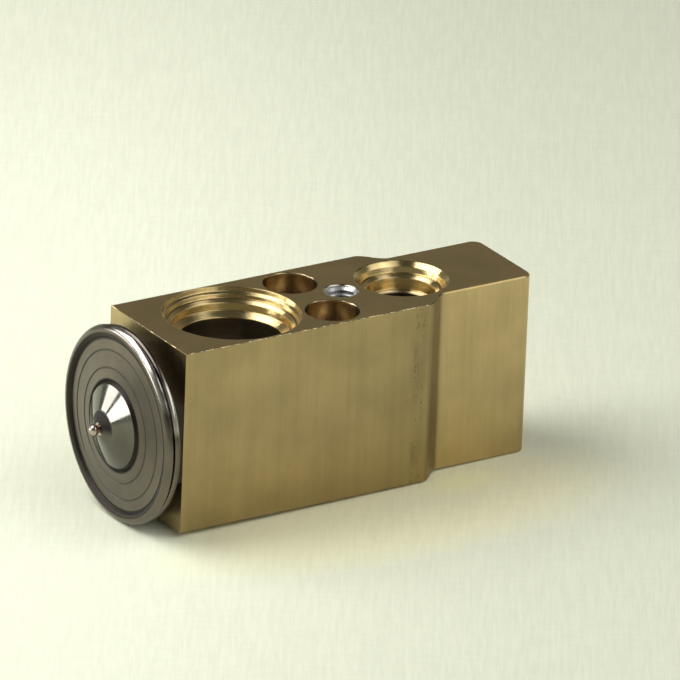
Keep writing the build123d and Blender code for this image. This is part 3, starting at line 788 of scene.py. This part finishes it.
def burrTree():
    # small torn bits strewn along a line, longer along it than across
    graph, given, identifiers = newTree("strewnBurrs", {
        "Start": (0.0, 0.0, 0.0), "End": (1.0, 0.0, 0.0), "Count": 20, "Smallest": 0.1,
        "Largest": 0.2, "Seed": 1})
    line = graph.add("GeometryNodeCurvePrimitiveLine", {
        "Start": given["Start"], "End": given["End"]})
    points = graph.add("GeometryNodeCurveToPoints", {
        "Curve": line.outputs[0], "Count": given["Count"]})
    along = graph.vector("SUBTRACT", given["End"], given["Start"])
    gap = graph.math("DIVIDE", graph.vector("LENGTH", along), given["Count"])
    draws = []
    for shift in (0, 7):
        draw = graph.add("FunctionNodeRandomValue", data_type="FLOAT")
        seed = next(socket for socket in draw.inputs if socket.name == "Seed")
        graph.plug(seed, graph.math("ADD", given["Seed"], shift))
        draws.append(draw.outputs[1])
    slide, chance = draws
    spread = graph.between(slide, 0, 1, -0.9, 0.9, smooth=False)
    shift = graph.shade(graph.vector("NORMALIZE", along), graph.math("MULTIPLY", spread, gap))
    moved = graph.add("GeometryNodeSetPosition", {"Geometry": points.outputs[0], "Offset": shift})
    size = graph.between(graph.math("POWER", chance, 3.0), 0, 1, given["Smallest"],
                         given["Largest"], smooth=False)
    longer = graph.math("MULTIPLY", size, graph.between(slide, 0, 1, 1.2, 3.2, smooth=False))
    scale = graph.add("ShaderNodeCombineXYZ", {
        0: longer, 1: size, 2: graph.math("MULTIPLY", size, 0.7)})
    ball = graph.add("GeometryNodeMeshIcoSphere", {"Radius": 1.0, "Subdivisions": 3})
    placed = graph.add("GeometryNodeInstanceOnPoints", {
        "Points": moved.outputs[0], "Instance": ball.outputs[0], "Scale": scale.outputs[0]})
    endTree(graph, placed.outputs[0], given["Finish"])
    return graph, identifiers


def makeBurrs():
    s = burrSettings
    material, graph, shader = newMaterial("bareBurr", 1.0, s["colour"], s["roughness"])
    point = objectPoint(graph)
    rough = graph.noise(point, s["grain"], detail=2)
    tone = graph.between(rough, 0.3, 0.7, 0.8, 1.1)
    graph.plug(shader.inputs["Base Color"], graph.shade(s["colour"], tone))
    bump(graph, shader, rough, s["grainDepth"] * mm)
    across, down = inMetres(s["inset"])
    start, end = (Vector((x, blockLow.y + across, blockHigh.z - down)) for x in inMetres(s["run"]))
    smallest, largest = inMetres(s["size"])
    mesh = grow("edge_burrs", *burrTree(), {
        "Start": start, "End": end, "Count": s["count"], "Smallest": smallest,
        "Largest": largest, "Seed": s["seed"], "Finish": material})
    piece = newPiece("edge_burrs", mesh, True)
    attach(piece, "block")


makeStudThread()
makeSpring()
makeBurrs()
print("thread, spring and burrs ready")


# --- floor and light

floorSettings = {
    "colour": (0.845, 0.872, 0.695),
    "size": 12.0,                  # metres
    "roughness": 0.9,
    "specular": 0.15,
    "threads": 1500.0,
    "threadAngle": 57.0,           # degrees, along the paper's threads
    "threadDepth": 0.05,           # mm
    "threadTones": (0.955, 1.03),
    "weftShare": 0.3,
    "rimX": -40.0,                 # mm, the rim that touches the floor
    "noseX": 41.85,                # mm, the bottom edge that touches the floor
    "paintedLeftLight": 1.13,              # painted light: how much paler the paper is drawn towards the left
    "leftWay": (-0.84, 0.545, 0),
    "leftFade": (-45, 55),         # mm
    "paintedBounceLight": (                   # painted light: tint, middle and reach in mm, and the share that is full
        ((1.14, 1.09, 0.96), (6, -22), (58, 24), 0.45),     # painted light thrown back by the block
        ((1.20, 1.16, 0.90), (24, -16), (11, 5), 0.20),     # painted reflection thrown under the waist
    ),
}


def makeFloor():
    # the head's rim is lower than the block, so the valve lies slightly tilted on the floor
    s = floorSettings
    rise = (blockLow.z - cadBounds[0][2]) / ((s["noseX"] - s["rimX"]) * mm)
    mesh = bpy.data.meshes.new("floor")
    half = s["size"] / 2
    corners = [(-half, -half), (half, -half), (half, half), (-half, half)]
    mesh.from_pydata([(x, y, blockLow.z + (x - s["noseX"] * mm) * rise) for x, y in corners], [],
                     [(0, 1, 2, 3)])
    floor = bpy.data.objects.new("floor", mesh)
    scene.collection.objects.link(floor)
    material, graph, shader = newMaterial("paper", 0.0, s["colour"], s["roughness"])
    shader.inputs["Specular IOR Level"].default_value = s["specular"]
    point = objectPoint(graph)
    turn = graph.add("ShaderNodeMapping", {
        "Vector": point, "Rotation": (0, 0, math.radians(-s["threadAngle"]))})
    warp = graph.group(streaks, Point=turn.outputs[0], Stretch=(0.06, 1, 1), Scale=s["threads"])
    weft = graph.group(streaks, Point=turn.outputs[0], Stretch=(1, 0.10, 1), Scale=s["threads"])
    weave = blend(graph, s["weftShare"], warp["Fine"], weft["Fine"])
    tone = graph.between(weave, 0.35, 0.65, *s["threadTones"])
    colour = s["colour"]
    # painted light thrown back by the block onto the paper
    for tint, middle, reach, full in s["paintedBounceLight"]:
        away = graph.vector("SUBTRACT", point, (*inMetres(middle), 0))
        away = graph.vector("MULTIPLY", away, (*(1 / length for length in inMetres(reach)), 0))
        bounceLightShare = graph.between(graph.vector("LENGTH", away), 1.0, full)
        colour = graph.mix(bounceLightShare, colour, [a * b for a, b in zip(s["colour"], tint)])
    # painted light: the paper drawn paler towards the left
    left = graph.vector("DOT_PRODUCT", point, s["leftWay"])
    tone = graph.product(tone, graph.between(left, *inMetres(s["leftFade"]), 1.0, s["paintedLeftLight"]))
    graph.plug(shader.inputs["Base Color"], graph.shade(colour, tone))
    bump(graph, shader, weave, s["threadDepth"] * mm, 0.5)
    mesh.materials.append(material)


def aimedAt(direction, distance, target):
    place = target + direction * distance
    turn = (target - place).to_track_quat("-Z", "Y").to_matrix().to_4x4()
    return Matrix.Translation(place) @ turn


lamps = {   # degrees from +X towards +Y and up, metres, degrees across and high, share of light
    "softLeft": (144, 49, 0.42, (52, 42), 0.715),
    "softRightNear": (-76, 45, 1.2, (34, 46), 0.155),
    "softRightFar": (-37, 46, 1.2, (30, 46), 0.145),
    "windowNear": (131.0, 6.5, 1.4, (20, 12), 0.020),
    "windowFar": (156.5, 6.5, 1.4, (19, 12), 0.027),
}


def makeLamps():
    target = Vector((0, 0, axisHeight))
    for name, (azimuth, elevation, distance, span, share) in lamps.items():
        azimuth, elevation = math.radians(azimuth), math.radians(elevation)
        direction = Vector((math.cos(azimuth) * math.cos(elevation),
                            math.sin(azimuth) * math.cos(elevation), math.sin(elevation)))
        data = bpy.data.lights.new(name, "AREA")
        data.shape = "RECTANGLE"
        data.size, data.size_y = (
            2 * distance * math.tan(math.radians(angle / 2)) for angle in span)
        data.energy = share * math.pi ** 2 * distance ** 2 / math.sin(elevation)
        lamp = bpy.data.objects.new(name, data)
        lamp.matrix_world = aimedAt(direction, distance, target)
        scene.collection.objects.link(lamp)


worldSettings = {   # colour and the sine of the height above the horizon where it is reached
    "horizon": ((0.60, 0.62, 0.52), 0.04), "middle": ((0.27, 0.26, 0.21), 0.26),
    "upper": ((0.09, 0.09, 0.08), 0.75),
}


def makeWorld():
    s = worldSettings
    world = bpy.data.worlds.new("studio")
    scene.world = world
    world.use_nodes = True
    graph = Graph(world.node_tree)
    background = next(node for node in world.node_tree.nodes if node.type == "BACKGROUND")
    direction = graph.add("ShaderNodeTexCoord").outputs["Generated"]
    up = graph.add("ShaderNodeSeparateXYZ", {0: direction}).outputs[2]
    (horizon, low), (middle, centre), (upper, high) = s["horizon"], s["middle"], s["upper"]
    colour = graph.mix(graph.between(up, low, centre), horizon, middle)
    colour = graph.mix(graph.between(up, centre, high), colour, upper)
    graph.plug(background.inputs["Color"], colour)


makeFloor()
makeLamps()
makeWorld()
print("floor and light ready")
